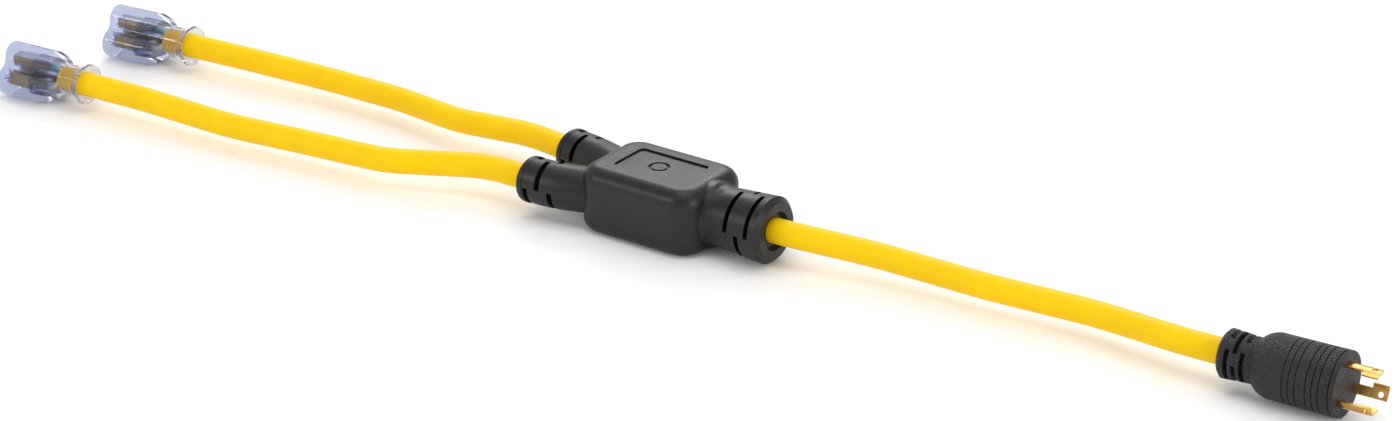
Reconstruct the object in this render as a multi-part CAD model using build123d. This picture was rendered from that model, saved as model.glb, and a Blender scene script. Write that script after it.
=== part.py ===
"""Y-splitter power adapter cord, in millimetres.

A black moulded junction joins one trunk cable, which ends in a three-blade locking plug, to two
branch cables, each of which ends in a clear three-lobed outlet connector.
+X runs from the junction to the plug, the two branches run to -X, +Z is up and z = 0 is the floor.
"""
from build123d import *
from math import atan2, cos, degrees, radians, sin, tan
import os

os.makedirs("parts", exist_ok=True)

# cable
JACKET_OD = 17.3
JACKET_ID = 12.6
WIRE_OD = 4.15
COPPER_OD = 3.0
WIRE_R = 2.85
BARE = 7.0
GAP = 0.1

# junction body
BOX_X = 2.0
BOX_L = 95.0
BOX_W = 68.0
BOX_H = 46.5
AXIS_Z = 23.0
CORNER_R = 17.0
TOP_R = 11.0
BOTTOM_R = 8.0
PANEL_L = 56.0
PANEL_W = 34.0
PANEL_DEPTH = 1.3
RING_X = 0.7
RING_OD = 14.6
RING_ID = 10.4
BOOT_R = 15.8
BOOT_A_S = 68.5
BOOT_B_S = 75.5
TRUNK_BOOT_R0 = 20.5
TRUNK_BOOT_R1 = 23.0
TRUNK_BOOT_END = 95.5
SLOT_W = 3.4
BRANCH_SLOT_W = 4.0
CORE_X = 2.5
CORE_L = 58.0
CORE_W = 40.0
CORE_H = 32.0
SPLICE_Z = 9.0
SPLICE_X0 = 4.0
SPLICE_X1 = 18.0

# plug
PLUG_X = 419.1
PLUG_Y = 15.38
PLUG_Z = 21.4
PLUG_YAW = 2.52
PLUG_BOOT_L = 22.7
PLUG_L = 80.9
PLUG_R = 21.3
BLADE_R = 14.0
BLADE_T = 1.5
BLADE_OUT = 22.0
BLADE_HALF = 13.0
FACE_R = 18.6
FACE_T = 5.0

# outlet connector
NECK_R = 11.5
NECK_Z = 18.0
CONN_L = 70.0
LOBE_R = 11.0
LOBE_Y = 9.5
TOP_LOBE_R = 10.0
TOP_LOBE_Z = 27.0
SLOT_Y = 6.35
BLADE_Z = 12.0
GROUND_Z = 24.0
GROUND_HOLE_R = 2.6
JACKET_IN = 22.0

# routes of the cable centre lines, corner by corner
TRUNK = [
    (29, 0, 23),
    (96, 0.8, 22.8),
    (164, 13.6, 19.6),
    (246, 17, 17.9),
    (322, 23, 18),
    (390, 14.1, 21.4),
    (440, 16.3, 21.4),
]
BRANCH_A = [
    (-24, -9.6, 23),
    (-64, -24.9, 23),
    (-128, -22.2, 21),
    (-194, -50.5, 18.3),
    (-258, -54.8, 16.8),
    (-326, -62.8, 16.2),
    (-403, -64.9, 18),
    (-476, -69.2, 18),
]
BRANCH_B = [
    (-24, 9.6, 23),
    (-66, 25.2, 23),
    (-138, 38.8, 20.8),
    (-198, 33.8, 18.2),
    (-258, 42.8, 16.8),
    (-328, 42.6, 16.3),
    (-398, 34.8, 18),
    (-465, 29, 18),
]


def vec(p):
    return Vector(*p)


def corner_radii(points):
    """One arc radius per corner: the tangent length is 0.45 of the shorter run."""
    radii = []
    for a, b, c in zip(points, points[1:], points[2:]):
        run1 = (b - a).length
        run2 = (c - b).length
        turn = (b - a).get_angle(c - b)
        radii.append(0.45 * min(run1, run2) / tan(radians(turn) / 2))
    return radii


def extend(points, start, end):
    """The same polyline with its two ends moved outwards along the end runs."""
    first = points[0] + (points[0] - points[1]).normalized() * start
    last = points[-1] + (points[-1] - points[-2]).normalized() * end
    return [first] + points[1:-1] + [last]


def sweep_round(points, radii, r_out, r_in=0.0):
    """A round bar, or a tube, along straight runs joined by tangent arcs."""
    path = FilletPolyline(*points, radius=radii)
    start = Plane(origin=points[0], z_dir=(points[1] - points[0]).normalized())
    solid = sweep(start * Circle(r_out), path=path)
    if r_in > 0:
        solid = solid - sweep(start * Circle(r_in), path=path)
    return solid


def first_solid(shape):
    """The largest solid of a result."""
    return sorted(shape.solids(), key=lambda s: s.volume)[-1]


def section_offset(points, i, angle, r):
    """A point beside corner i of a cable, at an angle in the cable's cross-section."""
    a = points[max(i - 1, 0)]
    b = points[min(i + 1, len(points) - 1)]
    along = (b - a).normalized()
    if along.X < 0:
        along = along * -1
    side = Vector(0, 0, 1).cross(along).normalized()
    up = along.cross(side)
    return points[i] + side * (r * cos(radians(angle))) + up * (r * sin(radians(angle)))


def tilted(pos, yaw):
    """A place on the floor plan, turned about the vertical."""
    return Location(pos, (0, 0, yaw))


def ring_sector(r0, r1, a0, a1):
    """A flat ring sector between two radii and two angles, in degrees."""
    far = r1 * 3
    n = 6
    wedge = [(0, 0)]
    for k in range(n + 1):
        a = radians(a0 + (a1 - a0) * k / n)
        wedge.append((far * cos(a), far * sin(a)))
    return (Circle(r1) - Circle(r0)) & make_face(Polyline(*wedge, close=True))


def slot_ring(s, width, r0, r1, spans):
    """Ring-sector cutters across an axis along +X, at station s."""
    plane = Plane(origin=(s - width / 2, 0, 0), x_dir=(0, 1, 0), z_dir=(1, 0, 0))
    cutters = []
    for a0, a1 in spans:
        cutters.append(extrude(plane * ring_sector(r0, r1, a0, a1), amount=width))
    return cutters


def bar(x0, x1, y, z, r):
    """A round bar along X."""
    plane = Plane(origin=(x0, y, z), z_dir=(1, 0, 0))
    return extrude(plane * Circle(r), amount=x1 - x0)


def block(x0, x1, y0, y1, z0, z1):
    """A box from its limits."""
    size = Box(x1 - x0, y1 - y0, z1 - z0)
    return Pos((x0 + x1) / 2, (y0 + y1) / 2, (z0 + z1) / 2) * size


def save(shape, name):
    solid = first_solid(shape)
    export_step(solid, "parts/" + name + ".step")


trunk = [vec(p) for p in TRUNK]
branch_a = [vec(p) for p in BRANCH_A]
branch_b = [vec(p) for p in BRANCH_B]
trunk_radii = corner_radii(trunk)
branch_a_radii = corner_radii(branch_a)
branch_b_radii = corner_radii(branch_b)


# ---------------------------------------------------------------- cables
def jackets():
    for name, pts, radii in (
        ("trunk_jacket", trunk, trunk_radii),
        ("branch_a_jacket", branch_a, branch_a_radii),
        ("branch_b_jacket", branch_b, branch_b_radii),
    ):
        print(name, "arc radii", [round(r) for r in radii])
        save(sweep_round(pts, radii, JACKET_OD / 2, JACKET_ID / 2), name)


def wire_path(cable, start_angle, end_angle, head, tail):
    """Corners of one insulated wire: a head, then the turning lay in the cable, then a tail."""
    n = len(cable) - 1
    points = [vec(p) for p in head]
    for i in range(len(cable)):
        angle = start_angle + (end_angle - start_angle) * i / n
        points.append(section_offset(cable, i, angle, WIRE_R))
    points.extend([vec(p) for p in tail])
    return points


def wire(name, points):
    radii = corner_radii(points)
    save(sweep_round(points, radii, WIRE_OD / 2, COPPER_OD / 2 + 0.02), name + "_insulation")
    save(sweep_round(extend(points, BARE, BARE), radii, COPPER_OD / 2), name + "_copper")


# ---------------------------------------------------------------- junction
BOOTS = ((branch_a, branch_a_radii, BOOT_A_S), (branch_b, branch_b_radii, BOOT_B_S))


def splice_entries(z):
    """Where the two branch wires and the trunk wire enter the splice at height z."""
    left = SPLICE_X0 - 1.5
    right = SPLICE_X1 + 1.5
    return (left, -2.7, z), (left, 2.7, z), (right, 0, z)


def splice(z, grow=0.0):
    """An oval copper barrel with two bores on the branch side and one on the trunk side."""
    outer = block(SPLICE_X0 - grow, SPLICE_X1 + grow, -4.8 - grow, 4.8 + grow,
                  z - 2.4 - grow, z + 2.4 + grow)
    outer = fillet(outer.edges().filter_by(Axis.X), 2.0)
    if grow > 0:
        return outer
    mid = (SPLICE_X0 + SPLICE_X1) / 2
    for y in (-2.7, 2.7):
        outer = outer - bar(SPLICE_X0 - 1, mid - 0.4, y, z, COPPER_OD / 2 + 0.05)
    return outer - bar(mid + 0.4, SPLICE_X1 + 1, 0, z, COPPER_OD / 2 + 0.05)


def boot_outer(points, radii, length):
    """A branch boot: a round bar that follows the cable out of the box, with a rounded end."""
    path = FilletPolyline(*points, radius=radii)
    start = Plane(origin=points[0], z_dir=(points[1] - points[0]).normalized())
    full = sweep(start * Circle(BOOT_R), path=path)
    limit = path_frame(points, radii, length - 5)
    keep = limit * Pos(-200, 0, 0) * Box(400, 200, 200)
    cap = extrude(across(-0.4) * Circle(BOOT_R + 0.3), amount=5.4)
    cap = fillet(cap.faces().sort_by(Axis.X)[-1].edges(), 3.0)
    return (full & keep) + limit * cap


def path_frame(points, radii, s):
    """The place at distance s along a route, with its local +X along the route."""
    path = FilletPolyline(*points, radius=radii)
    length = path.length
    pos = path @ (s / length)
    along = path % (s / length)
    return Location(Plane(origin=pos, x_dir=along, z_dir=Vector(0, 0, 1)))


def junction_shell():
    box = extrude(Pos(BOX_X, 0, 0) * RectangleRounded(BOX_L, BOX_W, CORNER_R), amount=BOX_H)
    box = fillet(box.faces().sort_by(Axis.Z)[-1].edges(), TOP_R)
    box = fillet(box.faces().sort_by(Axis.Z)[0].edges(), BOTTOM_R)
    body = box
    right = BOX_X + BOX_L / 2
    profile = Polyline(
        (right - 12, 0), (right - 12, 22.6), (right - 1, 22.6), (right + 2, 21.2),
        (right + 7, TRUNK_BOOT_R0), (TRUNK_BOOT_END - 3.5, TRUNK_BOOT_R1),
        (TRUNK_BOOT_END, TRUNK_BOOT_R1 - 3.5), (TRUNK_BOOT_END, 0), close=True)
    neck = revolve(Plane.XZ * make_face(profile), Axis.X)
    body = body + Pos(0, 0, AXIS_Z) * neck
    for pts, radii, end in BOOTS:
        body = body + boot_outer(pts, radii, end)
    return body


def junction():
    body = junction_shell()
    # recessed top panel with a ring groove
    panel = extrude(Pos(CORE_X, 0, BOX_H) * RectangleRounded(PANEL_L, PANEL_W, 3.5), -PANEL_DEPTH)
    body = body - panel
    ring = Circle(RING_OD / 2) - Circle(RING_ID / 2)
    body = body - extrude(Pos(RING_X, 0, BOX_H - PANEL_DEPTH) * ring, -1.2)
    # trunk boot: three staggered slot rings and a bell mouth
    r_slot = 13.0
    upper_left = [(91, 180), (271, 360)]
    upper_right = [(1, 90), (181, 270)]
    for s, spans in ((68.5, upper_left), (77.5, upper_right), (85.5, upper_left)):
        for cutter in slot_ring(s, SLOT_W, r_slot, 30, spans):
            body = body - Pos(0, 0, AXIS_Z) * cutter
    mouth = Polyline((TRUNK_BOOT_END - 3.5, 0), (TRUNK_BOOT_END - 3.5, 11.5),
                     (TRUNK_BOOT_END + 1, 14.0), (TRUNK_BOOT_END + 1, 0), close=True)
    body = body - Pos(0, 0, AXIS_Z) * revolve(Plane.XZ * make_face(mouth), Axis.X)
    # branch boots: the same three rings, across the bent axis, which points away from the box
    for pts, radii, end in BOOTS:
        for back, spans in ((8.4, upper_left), (16.8, upper_right), (25.2, upper_left)):
            place = path_frame(pts, radii, end - back)
            for cutter in slot_ring(0, BRANCH_SLOT_W, 10.6, 24, spans):
                body = body - place * cutter
    # bores for the jackets and the hollow for the core
    for pts, radii in ((trunk, trunk_radii), (branch_a, branch_a_radii),
                       (branch_b, branch_b_radii)):
        body = body - sweep_round(pts, radii, JACKET_OD / 2 + 0.05)
    x0 = CORE_X - CORE_L / 2
    body = body - block(x0, x0 + CORE_L, -CORE_W / 2, CORE_W / 2,
                        AXIS_Z - CORE_H / 2, AXIS_Z + CORE_H / 2)
    save(body, "junction_body")


def junction_core(wires):
    """The rigid inner block that holds the splices apart, with a channel for every wire."""
    x0 = CORE_X - CORE_L / 2 + GAP
    x1 = CORE_X + CORE_L / 2 - GAP
    core = block(x0, x1, -CORE_W / 2 + GAP, CORE_W / 2 - GAP,
                 AXIS_Z - CORE_H / 2 + GAP, AXIS_Z + CORE_H / 2 - GAP)
    for level in (SPLICE_Z, 0.0, -SPLICE_Z):
        core = core - splice(AXIS_Z + level, GAP)
    for points in wires:
        core = core - sweep_round(points, corner_radii(points), WIRE_OD / 2 + GAP)
    for pts, radii in ((trunk, trunk_radii), (branch_a, branch_a_radii),
                       (branch_b, branch_b_radii)):
        core = core - sweep_round(pts, radii, JACKET_OD / 2 + GAP)
    for level in (SPLICE_Z, 0.0, -SPLICE_Z):
        z = AXIS_Z + level
        core = core - block(SPLICE_X0 - 3, SPLICE_X1 + 3, -4.9, 4.9, z - 2.5, z + 2.5)
    save(core, "junction_core")


# ---------------------------------------------------------------- plug
PLUG_AT = tilted((PLUG_X, PLUG_Y, PLUG_Z), PLUG_YAW)
BLADES = (("line", 92), ("neutral", -31), ("ground", 213))
BARREL_X = (40.4, 49.4)


def plug_point(x, angle, r):
    local = Vector(x, r * cos(radians(angle)), r * sin(radians(angle)))
    turned = local.rotate(Axis.Z, PLUG_YAW)
    return turned + Vector(PLUG_X, PLUG_Y, PLUG_Z)


def plug_outer():
    """Boot, bulb shoulder, straight grip, two groups of three grooves, and a flange."""
    b = PLUG_BOOT_L
    end = PLUG_L
    edge = Polyline((0, 0), (0, 14.2), (1.8, 16.0), (b - 4, 14.9), (b, 14.9))
    bulb = ThreePointArc((b, 14.9), (b + 5, 19.2), (b + 14, 20.9))
    rest = Polyline((b + 14, 20.9), (end, PLUG_R), (end, 0), (0, 0))
    outer = revolve(Plane.XZ * make_face(Wire([*edge.edges(), *bulb.edges(), *rest.edges()])),
                    Axis.X)
    outer = fillet(outer.edges().filter_by(GeomType.CIRCLE).sort_by(Axis.X)[-1:], 0.8)
    return outer


def groove_ring(x, depth):
    profile = Polyline((x - 0.9, PLUG_R + 1), (x, PLUG_R - depth), (x + 0.25, PLUG_R - depth),
                       (x + 0.9, PLUG_R + 1), close=True)
    return revolve(Plane.XZ * make_face(profile), Axis.X)


def blade_sketch(angle, half, extra):
    r0 = BLADE_R - BLADE_T / 2
    return ring_sector(r0, r0 + BLADE_T, angle - half, angle + half + extra)


def across(x):
    """The cross-section plane of the plug at station x."""
    return Plane(origin=(x, 0, 0), x_dir=(0, 1, 0), z_dir=(1, 0, 0))


def ground_leg(angle, length, grow=0.0):
    """The inward leg of the ground blade's L section."""
    a = radians(angle + BLADE_HALF)
    y = BLADE_R * cos(a)
    z = BLADE_R * sin(a)
    leg = Pos(length / 2 - 0.4, 0) * Rectangle(length + 0.8 + 2 * grow, BLADE_T + 2 * grow)
    return Pos(y, z) * leg


def blade(name, angle):
    shank_x = BARREL_X[1] - 2
    tip = PLUG_L + BLADE_OUT
    head_x = PLUG_L + 11.5
    body = extrude(across(shank_x) * blade_sketch(angle, BLADE_HALF, 0), amount=tip - shank_x)
    if name == "ground":
        body = body + extrude(across(PLUG_L - 8) * ground_leg(angle, 4.4),
                              amount=tip - PLUG_L + 8)
        body = body + extrude(across(head_x) * ground_leg(angle, 7.2), amount=tip - head_x)
    else:
        head = blade_sketch(angle, BLADE_HALF, 13)
        body = body + extrude(across(head_x) * head, amount=tip - head_x)
    # hole through the head
    hole_at = Location((tip - 4.6, 0, 0)) * Location((0, 0, 0), (angle - 90, 0, 0))
    hole = hole_at * Pos(0, 0, 10) * Cylinder(1.9, 12)
    body = body - hole
    # crimp barrel at the inner end
    a = radians(angle)
    y = (BLADE_R - 0.6) * cos(a)
    z = (BLADE_R - 0.6) * sin(a)
    barrel = bar(BARREL_X[0], BARREL_X[1], y, z, 2.4)
    body = body + barrel
    body = body - bar(BARREL_X[0] - 1, BARREL_X[1] - 1.2, y, z, COPPER_OD / 2 + 0.05)
    return PLUG_AT * body


def blade_void(name, angle):
    """Room for one blade and its barrel."""
    r0 = BLADE_R - BLADE_T / 2 - GAP
    da = degrees(GAP / BLADE_R)
    flat = ring_sector(r0, r0 + BLADE_T + 2 * GAP, angle - BLADE_HALF - da, angle + BLADE_HALF + da)
    void = extrude(across(BARREL_X[1] - 2.1) * flat, amount=40)
    a = radians(angle)
    y = (BLADE_R - 0.6) * cos(a)
    z = (BLADE_R - 0.6) * sin(a)
    void = void + bar(BARREL_X[0] - GAP, BARREL_X[1] + GAP, y, z, 2.4 + GAP)
    if name == "ground":
        void = void + extrude(across(PLUG_L - 8 - GAP) * ground_leg(angle, 4.4, GAP), amount=12)
    return PLUG_AT * void


def plug(wires):
    voids = [blade_void(name, angle) for name, angle in BLADES]
    for name, angle in BLADES:
        save(blade(name, angle), "plug_" + name + "_blade")
    face = extrude(across(PLUG_L - FACE_T) * Circle(FACE_R), amount=FACE_T)
    face = PLUG_AT * face
    for void in voids:
        face = face - void
    save(face, "plug_face")
    body = plug_outer()
    for x in (46.9, 51.1, 55.3, 62.4, 66.6, 70.8, 77.4):
        body = body - groove_ring(x, 0.9)
    for x, gap in ((6.6, 129), (11.7, 165), (17.0, 129)):
        spans = [(gap + 15 + turn, gap + 105 + turn) for turn in (0, 120, 240)]
        for cutter in slot_ring(x, 3.1, 10.8, 20, spans):
            body = body - cutter
    body = body - extrude(across(PLUG_L - FACE_T - GAP) * Circle(FACE_R + GAP), amount=20)
    body = PLUG_AT * body
    for void in voids:
        body = body - void
    for points in wires:
        longer = extend(points, 1.0, 1.5)
        body = body - sweep_round(longer, corner_radii(points), WIRE_OD / 2 + GAP)
    body = body - sweep_round(trunk, trunk_radii, JACKET_OD / 2 + 0.05)
    save(body, "plug_body")


# ---------------------------------------------------------------- connectors
YAW_A = 180 + degrees(atan2(-(BRANCH_A[-1][1] - BRANCH_A[-2][1]),
                            BRANCH_A[-2][0] - BRANCH_A[-1][0]))
YAW_B = 180 + degrees(atan2(-(BRANCH_B[-1][1] - BRANCH_B[-2][1]),
                            BRANCH_B[-2][0] - BRANCH_B[-1][0]))


def connector_place(cable, yaw):
    """The connector's rear rim sits one jacket insertion behind the cable's end."""
    end = cable[-1]
    back = (cable[-2] - cable[-1]).normalized() * JACKET_IN
    rim = end + back
    return tilted((rim.X, rim.Y, 0), yaw)


def lobe_section():
    lower = Pos(0, LOBE_R) * SlotOverall(2 * (LOBE_Y + LOBE_R), 2 * LOBE_R)
    top = Pos(0, TOP_LOBE_Z) * Circle(TOP_LOBE_R)
    web = Pos(0, TOP_LOBE_Z - 8) * Rectangle(2 * TOP_LOBE_R, 16)
    section = lower + top + web
    corners = section.vertices().filter_by(lambda v: 16 < v.Y < 24 and abs(abs(v.X) - 10) < 1)
    return fillet(corners, 6.0)


def connector_outer():
    """Three lobes that close into a round neck with a flared rim."""
    lobes = extrude(across(12) * lobe_section(), amount=CONN_L - 12)
    front = lobes.faces().sort_by(Axis.X)[-1]
    lobes = fillet(front.edges(), 3.2)
    dome = Spline((16, 10.5), (22, 13.6), (33, 19.6), (48, 23.2), (90, 25.5),
                  tangents=((1, 0.25), (1, 0.03)))
    close = Polyline((90, 25.5), (90, 0), (16, 0), (16, 10.5))
    limit = revolve(Plane.XZ * make_face(Wire([*dome.edges(), *close.edges()])), Axis.X)
    shell = lobes & (Pos(0, 0, NECK_Z) * limit)
    rim = Polyline((0, 0), (0, 14.4), (1.2, 14.6), (4.5, 12.6), (9, NECK_R), (32, NECK_R),
                   (32, 0), close=True)
    return shell + Pos(0, 0, NECK_Z) * revolve(Plane.XZ * make_face(rim), Axis.X)


def cup():
    profile = Polyline((-1, 0), (-1, 13.6), (1.0, 13.0), (8.5, JACKET_OD / 2 + 0.05), (8.5, 0),
                       close=True)
    return Pos(0, 0, NECK_Z) * revolve(Plane.XZ * make_face(profile), Axis.X)


CONTACTS = (("line", -SLOT_Y, BLADE_Z), ("neutral", SLOT_Y, BLADE_Z), ("ground", 0, GROUND_Z))
CONTACT_X = (46.0, 65.0)
CRIMP_X = (33.5, 44.0)


def contact_room(name, y, z):
    """Room for one contact and its crimp barrel."""
    half = 4.0 if name == "ground" else 2.6
    tall = 4.0 if name == "ground" else 4.2
    room = block(CRIMP_X[1] - 1, CONTACT_X[1] + GAP, y - half - GAP, y + half + GAP,
                 z - tall - GAP, z + tall + GAP)
    return room + bar(CRIMP_X[0] - GAP, CRIMP_X[1] + 3, y, z, 2.5 + GAP)


def contact(name, y, z):
    """A sprung brass channel open towards the face, with a crimp barrel behind it."""
    x0, x1 = CONTACT_X
    if name == "ground":
        body = bar(x0, x1, y, z, 3.9) - bar(x0 + 1.5, x1 + 1, y, z, 2.9)
        body = body - block(x0 + 4, x1 + 1, y - 0.5, y + 0.5, z - 5, z + 5)
    else:
        body = block(x0, x1, y - 2.5, y + 2.5, z - 4.1, z + 4.1)
        body = body - block(x0 + 1.2, x1 + 1, y - 1.1, y + 1.1, z - 5, z + 5)
    barrel = bar(CRIMP_X[0], x0 + 0.5, y, z, 2.5)
    barrel = barrel - bar(CRIMP_X[0] - 1, CRIMP_X[1] - 1, y, z, COPPER_OD / 2 + 0.05)
    return body + barrel


def carrier_shape(grow):
    """The inner block: wide across the two blade contacts, narrow under the ground contact."""
    lower = block(31.0 - grow, 45.0 + grow, -12.0 - grow, 12.0 + grow, 5.5 - grow, 19.0)
    lower = fillet(lower.edges().filter_by(Axis.X).group_by(Axis.Z)[0], 4.0)
    upper = block(31.0 - grow, 45.0 + grow, -6.5 - grow, 6.5 + grow, 18.0, 29.5 + grow)
    upper = fillet(upper.edges().filter_by(Axis.X).group_by(Axis.Z)[-1], 3.0)
    return lower + upper


def connector(prefix, place, wires, pts, radii):
    body = connector_outer() - cup()
    carrier = carrier_shape(0.0)
    body = body - carrier_shape(GAP)
    for name, y, z in CONTACTS:
        room = contact_room(name, y, z)
        body = body - room
        carrier = carrier - room
        save(place * contact(name, y, z), prefix + "_" + name + "_contact")
    # blade slots, one of them with a side leg, and the ground hole
    body = body - block(CONTACT_X[1], CONN_L + 1, -SLOT_Y - 1.0, -SLOT_Y + 1.0,
                        BLADE_Z - 3.6, BLADE_Z + 3.6)
    body = body - block(CONTACT_X[1], CONN_L + 1, SLOT_Y - 1.0, SLOT_Y + 1.0,
                        BLADE_Z - 4.4, BLADE_Z + 4.4)
    body = body - block(CONTACT_X[1], CONN_L + 1, SLOT_Y, SLOT_Y + 4.0,
                        BLADE_Z - 1.0, BLADE_Z + 1.0)
    body = body - bar(CONTACT_X[1], CONN_L + 1, 0, GROUND_Z, GROUND_HOLE_R)
    body = place * body
    carrier = place * carrier
    for points in wires:
        channel = sweep_round(extend(points, 0, 1.0), corner_radii(points), WIRE_OD / 2 + GAP)
        body = body - channel
        carrier = carrier - channel
    body = body - sweep_round(pts, radii, JACKET_OD / 2 + 0.05)
    save(body, prefix + "_body")
    save(carrier, prefix + "_contact_carrier")


# ---------------------------------------------------------------- assembly
LEVELS = {"ground": SPLICE_Z, "line": 0.0, "neutral": -SPLICE_Z}
BRANCH_ANGLES = {"ground": 90, "line": -30, "neutral": 210}


def trunk_wires():
    """The lay of the trunk turns so that each wire reaches its own blade."""
    paths = {}
    lay = {"line": (-30, 90), "neutral": (210, 330), "ground": (90, 210)}
    target = {name: angle for name, angle in BLADES}
    for name, level in LEVELS.items():
        entry = splice_entries(AXIS_Z + level)[2]
        head = [entry, (entry[0] + 5, entry[1], entry[2])]
        angle = target[name]
        tail = [plug_point(BARREL_X[0] - 5.5, angle, BLADE_R - 0.6),
                plug_point(BARREL_X[0] - 0.5, angle, BLADE_R - 0.6)]
        paths[name] = wire_path(trunk, lay[name][0], lay[name][1], head, tail)
    return paths


def branch_wires(cable, side, place):
    paths = {}
    for name, level in LEVELS.items():
        entry = splice_entries(AXIS_Z + level)[0 if side < 0 else 1]
        head = [entry, (entry[0] - 5, entry[1], entry[2])]
        y, z = [(cy, cz) for cname, cy, cz in CONTACTS if cname == name][0]
        tail = []
        for x in (CRIMP_X[0] - 5.0, CRIMP_X[0] - 0.5):
            tail.append((place * Location((x, y, z))).position)
        paths[name] = wire_path(cable, BRANCH_ANGLES[name], BRANCH_ANGLES[name], head,
                                [tuple(p) for p in tail])
    return paths


def main():
    jackets()
    place_a = connector_place(branch_a, YAW_A)
    place_b = connector_place(branch_b, YAW_B)
    t = trunk_wires()
    a = branch_wires(branch_a, -1, place_a)
    b = branch_wires(branch_b, 1, place_b)
    for prefix, paths in (("trunk", t), ("branch_a", a), ("branch_b", b)):
        for name, points in paths.items():
            wire(prefix + "_" + name, points)
    for name, level in LEVELS.items():
        save(splice(AXIS_Z + level), name + "_splice")
    junction()
    junction_core([*t.values(), *a.values(), *b.values()])
    plug(list(t.values()))
    connector("connector_a", place_a, list(a.values()), branch_a, branch_a_radii)
    connector("connector_b", place_b, list(b.values()), branch_b, branch_b_radii)


main()
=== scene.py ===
"""Y-splitter power adapter cord: the looks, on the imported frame. Metres, +Z up."""
import math
import bpy
from mathutils import Matrix, Vector


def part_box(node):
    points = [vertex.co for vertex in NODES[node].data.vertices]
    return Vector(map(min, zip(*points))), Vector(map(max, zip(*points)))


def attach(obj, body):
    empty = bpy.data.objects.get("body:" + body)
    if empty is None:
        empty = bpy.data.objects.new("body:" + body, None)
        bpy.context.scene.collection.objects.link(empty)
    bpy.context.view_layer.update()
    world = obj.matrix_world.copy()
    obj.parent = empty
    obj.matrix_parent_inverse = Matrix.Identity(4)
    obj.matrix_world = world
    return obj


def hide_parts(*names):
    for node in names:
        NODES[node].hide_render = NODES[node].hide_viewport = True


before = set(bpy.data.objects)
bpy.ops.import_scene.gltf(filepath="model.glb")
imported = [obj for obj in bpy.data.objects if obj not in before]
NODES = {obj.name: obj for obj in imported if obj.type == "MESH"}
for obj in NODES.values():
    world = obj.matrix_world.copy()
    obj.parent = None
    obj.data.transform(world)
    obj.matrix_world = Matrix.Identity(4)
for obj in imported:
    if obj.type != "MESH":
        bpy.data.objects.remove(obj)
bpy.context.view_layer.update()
MM = 0.001

# ---------------------------------------------------------------- camera
SENSOR_MM = 36.0
LENS_MM = 103.4483
AZIMUTH = math.radians(35.57)
ELEVATION = math.radians(24.15)
EYE = Vector((1.4360, -1.9651, 1.1043))
CLIP_NEAR = 0.05
CLIP_FAR = 20


def add_camera():
    """A camera at EYE without roll, looking down by ELEVATION and turned by AZIMUTH."""
    data = bpy.data.cameras.new("camera")
    cam = bpy.data.objects.new("camera", data)
    bpy.context.scene.collection.objects.link(cam)
    bpy.context.scene.camera = cam
    flat = math.cos(ELEVATION)
    back = Vector((math.sin(AZIMUTH) * flat, -math.cos(AZIMUTH) * flat, math.sin(ELEVATION)))
    right = Vector((math.cos(AZIMUTH), math.sin(AZIMUTH), 0))
    up = back.cross(right)
    cam.matrix_world = Matrix((
        (right.x, up.x, back.x, EYE.x),
        (right.y, up.y, back.y, EYE.y),
        (right.z, up.z, back.z, EYE.z),
        (0, 0, 0, 1)))
    data.sensor_width = SENSOR_MM
    data.lens = LENS_MM
    data.clip_start = CLIP_NEAR
    data.clip_end = CLIP_FAR


add_camera()


# ---------------------------------------------------------------- helpers
def link(obj):
    bpy.context.scene.collection.objects.link(obj)
    return obj


def flat_square(name, half, z):
    """One level square face round the origin, at height z."""
    corners = [(-half, -half, z), (half, -half, z), (-half, half, z), (half, half, z)]
    mesh = bpy.data.meshes.new(name)
    mesh.from_pydata(corners, [], [(0, 1, 3, 2)])
    return link(bpy.data.objects.new(name, mesh))


def feed(tree, sock, term):
    """Links an output into an input, or sets the input when the term is a plain value."""
    if isinstance(term, bpy.types.NodeSocket):
        tree.links.new(term, sock)
    else:
        sock.default_value = term


def arithmetic(tree, operation, *terms):
    """The output of a math node whose terms are outputs or numbers."""
    made = tree.nodes.new("ShaderNodeMath")
    made.operation = operation
    for sock, term in zip(made.inputs, terms):
        feed(tree, sock, term)
    return made.outputs[0]


def group(name, outputs, inputs=()):
    """An empty node group with its sockets; outputs and inputs are (name, type, default)."""
    tree = bpy.data.node_groups.new(name, "ShaderNodeTree")
    for label, kind, value in inputs:
        sock = tree.interface.new_socket(label, in_out="INPUT", socket_type="NodeSocket" + kind)
        if value is not None:
            sock.default_value = value
    for label, kind in outputs:
        tree.interface.new_socket(label, in_out="OUTPUT", socket_type="NodeSocket" + kind)
    enter = tree.nodes.new("NodeGroupInput")
    leave = tree.nodes.new("NodeGroupOutput")
    return tree, enter, leave


def ramp(tree, fac, stops):
    """The colour of a ramp; stops are (position, colour), from the first to the last."""
    made = tree.nodes.new("ShaderNodeValToRGB")
    made.color_ramp.elements[0].position = stops[0][0]
    made.color_ramp.elements[0].color = stops[0][1]
    made.color_ramp.elements[1].position = stops[-1][0]
    made.color_ramp.elements[1].color = stops[-1][1]
    for pos, color in stops[1:-1]:
        made.color_ramp.elements.new(pos).color = color
    tree.links.new(fac, made.inputs[0])
    return made.outputs[0]


def grey(v):
    return (v, v, v, 1)


FINE_SCALE = 1500
FINE_DETAIL = 4
CELL_SCALE = 900
CELL_SHARE = 0.5
CLOUD_SCALE = 35
CLOUD_DETAIL = 5
SPECK_SHARE = 0.6
TINT_SHARE = 0.6
CLOUD_STOPS = [(0.3, grey(0.0)), (0.7, grey(1.0))]
SPECK_STOPS = [(0.35, grey(0.0)), (0.65, grey(1.0))]


def texture(tree, kind, coords, scale):
    made = tree.nodes.new("ShaderNodeTex" + kind)
    tree.links.new(coords, made.inputs["Vector"])
    feed(tree, made.inputs["Scale"], scale)
    return made


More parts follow.
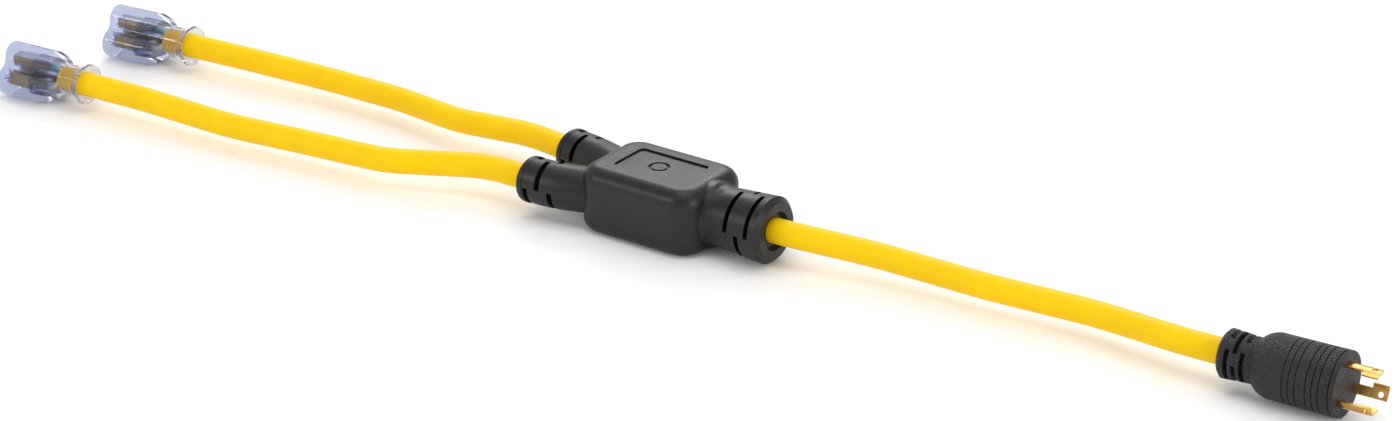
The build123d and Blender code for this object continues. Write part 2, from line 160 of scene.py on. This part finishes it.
def grain_group():
    """Moulded plastic: fine grain height, slow cloudy wear in colour and roughness, dust specks."""
    tree, enter, leave = group(
        "moulded_grain", [("Height", "Float"), ("Rough", "Float"), ("Tint", "Float")],
        [("Scale", "Float", 1.0), ("Grain", "Float", 1.0)])
    coords = tree.nodes.new("ShaderNodeTexCoord").outputs["Object"]
    fine_scale = arithmetic(tree, "MULTIPLY", enter.outputs["Scale"], FINE_SCALE)
    fine = texture(tree, "Noise", coords, fine_scale)
    fine.inputs["Detail"].default_value = FINE_DETAIL
    cells = texture(tree, "Voronoi", coords, CELL_SCALE)
    cloud = texture(tree, "Noise", coords, CLOUD_SCALE)
    cloud.inputs["Detail"].default_value = CLOUD_DETAIL
    grain = arithmetic(tree, "MULTIPLY_ADD", cells.outputs["Distance"], CELL_SHARE,
                       fine.outputs[0])
    height = arithmetic(tree, "MULTIPLY", grain, enter.outputs["Grain"])
    rough = ramp(tree, cloud.outputs[0], CLOUD_STOPS)
    specks = ramp(tree, fine.outputs[0], SPECK_STOPS)
    wear = arithmetic(tree, "MULTIPLY_ADD", specks, SPECK_SHARE, rough)
    tint = arithmetic(tree, "MULTIPLY", wear, TINT_SHARE)
    tree.links.new(height, leave.inputs["Height"])
    tree.links.new(rough, leave.inputs["Rough"])
    tree.links.new(tint, leave.inputs["Tint"])
    return tree


GRAIN = grain_group()

# A mix node keeps a set of sockets for each data type; these are its colour ones.
MIX_FACTOR = 0
MIX_A = 6
MIX_B = 7
MIX_RESULT = 2


def material(name, dark, light, rough=(0.4, 0.6), grain=1.0, scale=1.0, bump=0.2,
             distance=0.0002, metallic=0.0, **sockets):
    """A Principled material whose colour, roughness and bump come from the grain group."""
    mat = bpy.data.materials.new(name)
    mat.use_nodes = True
    tree = mat.node_tree
    shader = tree.nodes["Principled BSDF"]
    g = tree.nodes.new("ShaderNodeGroup")
    g.node_tree = GRAIN
    g.inputs["Scale"].default_value = scale
    g.inputs["Grain"].default_value = grain
    color = tree.nodes.new("ShaderNodeMix")
    color.data_type = "RGBA"
    color.inputs[MIX_A].default_value = (*dark, 1)
    color.inputs[MIX_B].default_value = (*light, 1)
    tree.links.new(g.outputs["Tint"], color.inputs[MIX_FACTOR])
    tree.links.new(color.outputs[MIX_RESULT], shader.inputs["Base Color"])
    spread = tree.nodes.new("ShaderNodeMapRange")
    spread.inputs["To Min"].default_value = rough[0]
    spread.inputs["To Max"].default_value = rough[1]
    tree.links.new(g.outputs["Rough"], spread.inputs["Value"])
    tree.links.new(spread.outputs[0], shader.inputs["Roughness"])
    relief = tree.nodes.new("ShaderNodeBump")
    relief.inputs["Strength"].default_value = bump
    relief.inputs["Distance"].default_value = distance
    tree.links.new(g.outputs["Height"], relief.inputs["Height"])
    tree.links.new(relief.outputs[0], shader.inputs["Normal"])
    shader.inputs["Metallic"].default_value = metallic
    for key, value in sockets.items():
        shader.inputs[key.replace("_", " ")].default_value = value
    return mat


def clear_neck(mat, x_tinted, x_clear, clear):
    """The tint of a clear body thins out along X, from the thick front to the thin rear neck."""
    tree = mat.node_tree
    shader = tree.nodes["Principled BSDF"]
    tinted = shader.inputs["Base Color"].links[0].from_socket
    split = tree.nodes.new("ShaderNodeSeparateXYZ")
    coords = tree.nodes.new("ShaderNodeTexCoord")
    tree.links.new(coords.outputs["Object"], split.inputs[0])
    along = tree.nodes.new("ShaderNodeMapRange")
    along.interpolation_type = "SMOOTHSTEP"
    along.inputs["From Min"].default_value = x_tinted
    along.inputs["From Max"].default_value = x_clear
    tree.links.new(split.outputs["X"], along.inputs["Value"])
    mix = tree.nodes.new("ShaderNodeMix")
    mix.data_type = "RGBA"
    mix.inputs[MIX_B].default_value = clear
    tree.links.new(along.outputs[0], mix.inputs[MIX_FACTOR])
    tree.links.new(tinted, mix.inputs[MIX_A])
    tree.links.new(mix.outputs[MIX_RESULT], shader.inputs["Base Color"])
    return mat


def paint(obj, mat):
    obj.data.materials.clear()
    obj.data.materials.append(mat)


# ---------------------------------------------------------------- materials
BLACK = material("black_overmould", (0.004, 0.004, 0.004), (0.010, 0.010, 0.010),
                 rough=(0.34, 0.44), grain=0.8, bump=0.5, Specular_IOR_Level=0.38)
PLUG_BLACK = material("plug_overmould", (0.004, 0.004, 0.004), (0.018, 0.018, 0.018),
                      rough=(0.42, 0.58), grain=1.4, scale=0.5, bump=1.0, distance=0.0012,
                      Specular_IOR_Level=0.45)
YELLOW = material("yellow_jacket", (0.84, 0.52, 0.0), (0.94, 0.60, 0.0), rough=(0.42, 0.54),
                  grain=0.6, bump=0.15, Specular_IOR_Level=0.14)
BRASS = material("stamped_brass", (0.46, 0.24, 0.05), (0.84, 0.52, 0.16), rough=(0.16, 0.34),
                 grain=0.5, scale=0.5, bump=0.15, metallic=1.0)
COPPER = material("copper_strands", (0.60, 0.25, 0.10), (0.90, 0.48, 0.25), rough=(0.2, 0.4),
                  grain=0.7, bump=0.2, metallic=1.0)
CORE = material("inner_core", (0.10, 0.10, 0.11), (0.15, 0.15, 0.16), rough=(0.5, 0.7))
GREEN = material("ground_insulation", (0.0, 0.40, 0.36), (0.0, 0.55, 0.50), rough=(0.3, 0.4))
WHITE = material("neutral_insulation", (0.68, 0.68, 0.64), (0.82, 0.82, 0.78), rough=(0.3, 0.4))
DARK = material("line_insulation", (0.012, 0.012, 0.012), (0.03, 0.03, 0.03), rough=(0.3, 0.4))


NECK_TINTED = 31 * MM
NECK_CLEAR = 24 * MM
NECK_COLOR = (0.76, 0.72, 0.70, 1)


def clear_tint(name, body):
    """The clear bluish body of one outlet connector, almost colourless over its neck."""
    mat = material(name, (0.42, 0.47, 0.65), (0.50, 0.55, 0.72), rough=(0.03, 0.08), grain=0.3,
                   bump=0.03, Transmission_Weight=0.97, IOR=1.10, Coat_Weight=0.8,
                   Coat_Roughness=0.07)
    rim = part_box(body)[1].x
    return clear_neck(mat, rim - NECK_TINTED, rim - NECK_CLEAR, NECK_COLOR)


TINTS = {f"connector_{side}_body": clear_tint(f"clear_tint_{side}", f"connector_{side}_body")
         for side in "ab"}
CARRIER = material("tinted_carrier", (0.66, 0.70, 0.86), (0.74, 0.78, 0.92), rough=(0.08, 0.16),
                   grain=0.5, bump=0.1, Transmission_Weight=0.97, IOR=1.08)

LOOKS = {
    "junction_body": BLACK, "junction_core": CORE, "plug_body": PLUG_BLACK,
    "plug_face": PLUG_BLACK, **TINTS,
}
ENDINGS = {
    "_copper": COPPER, "_splice": COPPER, "_blade": BRASS, "_contact": BRASS,
    "_carrier": CARRIER, "_ground_insulation": GREEN, "_neutral_insulation": WHITE,
    "_line_insulation": DARK, "_jacket": YELLOW,
}


def look_of(name):
    """The material of a node: by its whole name, or by the way its name ends."""
    if name in LOOKS:
        return LOOKS[name]
    return next(mat for ending, mat in ENDINGS.items() if name.endswith(ending))


for node_name, node_obj in NODES.items():
    paint(node_obj, look_of(node_name))

# ---------------------------------------------------------------- cables
JACKET = 17.3 * MM
CORNER_SHARE = 0.45
ROUND_STEPS = 12
LENGTH_STEPS = 14
SPLINE_ORDER = 3
TRUNK = [(29, 0, 23), (96, 0.8, 22.8), (164, 13.6, 19.6), (246, 17, 17.9), (322, 23, 18),
         (390, 14.1, 21.4), (440, 16.3, 21.4)]
BRANCH_A = [(-24, -9.6, 23), (-64, -24.9, 23), (-128, -22.2, 21), (-194, -50.5, 18.3),
            (-258, -54.8, 16.8), (-326, -62.8, 16.2), (-403, -64.9, 18), (-476, -69.2, 18)]
BRANCH_B = [(-24, 9.6, 23), (-66, 25.2, 23), (-138, 38.8, 20.8), (-198, 33.8, 18.2),
            (-258, 42.8, 16.8), (-328, 42.6, 16.3), (-398, 34.8, 18), (-465, 29, 18)]


def route(corners):
    """Straight runs with a quadratic turn at each corner, as control points: each corner gives
    the place where its turn starts, the corner itself, and the place where the turn ends."""
    p = [Vector(c) * MM for c in corners]
    out = [p[0]]
    for a, b, c in zip(p, p[1:], p[2:]):
        cut = CORNER_SHARE * min((b - a).length, (c - b).length)
        out.append(b + (a - b).normalized() * cut)
        out.append(b)
        out.append(b + (c - b).normalized() * cut)
    out.append(p[-1])
    return out


def cable(name, corners, node_name):
    """A round jacket along a route, shown in place of one node."""
    pts = route(corners)
    data = bpy.data.curves.new(name, "CURVE")
    data.dimensions = "3D"
    data.bevel_depth = JACKET / 2
    data.bevel_resolution = ROUND_STEPS
    data.resolution_u = LENGTH_STEPS
    data.use_fill_caps = True
    spline = data.splines.new("NURBS")
    spline.points.add(len(pts) - 1)
    for point, at in zip(spline.points, pts):
        point.co = (*at, 1)
    spline.order_u = SPLINE_ORDER
    spline.use_endpoint_u = True
    obj = link(bpy.data.objects.new(name, data))
    obj.data.materials.append(YELLOW)
    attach(obj, "root")
    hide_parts(node_name)
    return obj


trunk = cable("trunk_cable", TRUNK, "trunk_jacket")
branch_a = cable("branch_a_cable", BRANCH_A, "branch_a_jacket")
branch_b = cable("branch_b_cable", BRANCH_B, "branch_b_jacket")

# ---------------------------------------------------------------- stage
FLOOR_HALF = 4
FLOOR_Z = -0.0006
FLOOR_GREY = 0.93
FLOOR_ROUGH = 0.9
WORLD_STRENGTH = 0.66

floor = flat_square("floor", FLOOR_HALF, FLOOR_Z)
floor_mat = bpy.data.materials.new("floor_white")
floor_mat.use_nodes = True
floor_shader = floor_mat.node_tree.nodes["Principled BSDF"]
floor_shader.inputs["Base Color"].default_value = grey(FLOOR_GREY)
floor_shader.inputs["Roughness"].default_value = FLOOR_ROUGH
paint(floor, floor_mat)


def area_light(name, at, target, size, power):
    """A rectangular lamp turned towards its target."""
    data = bpy.data.lights.new(name, "AREA")
    data.shape = "RECTANGLE"
    data.size = size[0]
    data.size_y = size[1]
    data.energy = power
    lamp = link(bpy.data.objects.new(name, data))
    lamp.location = at
    lamp.rotation_euler = (Vector(target) - Vector(at)).to_track_quat("-Z", "Y").to_euler()


# name, place, target, size, power
LAMPS = (
    ("key", (-1.1, 1.7, 1.5), (0, 0, 0), (1.6, 0.7), 22),
    ("top", (0.1, 0.1, 2.4), (0, 0, 0), (2.4, 1.6), 20),
    ("front", (-1.3, -2.0, 1.1), (0, 0, 0), (1.2, 0.3), 11),
    ("side", (2.0, -0.3, 0.6), (0.1, 0, 0), (0.4, 0.8), 12),
)
for lamp_row in LAMPS:
    area_light(*lamp_row)
world = bpy.data.worlds.new("world")
bpy.context.scene.world = world
world.use_nodes = True
world.node_tree.nodes["Background"].inputs["Color"].default_value = grey(1.0)
world.node_tree.nodes["Background"].inputs["Strength"].default_value = WORLD_STRENGTH
bpy.context.scene.view_settings.view_transform = "Standard"
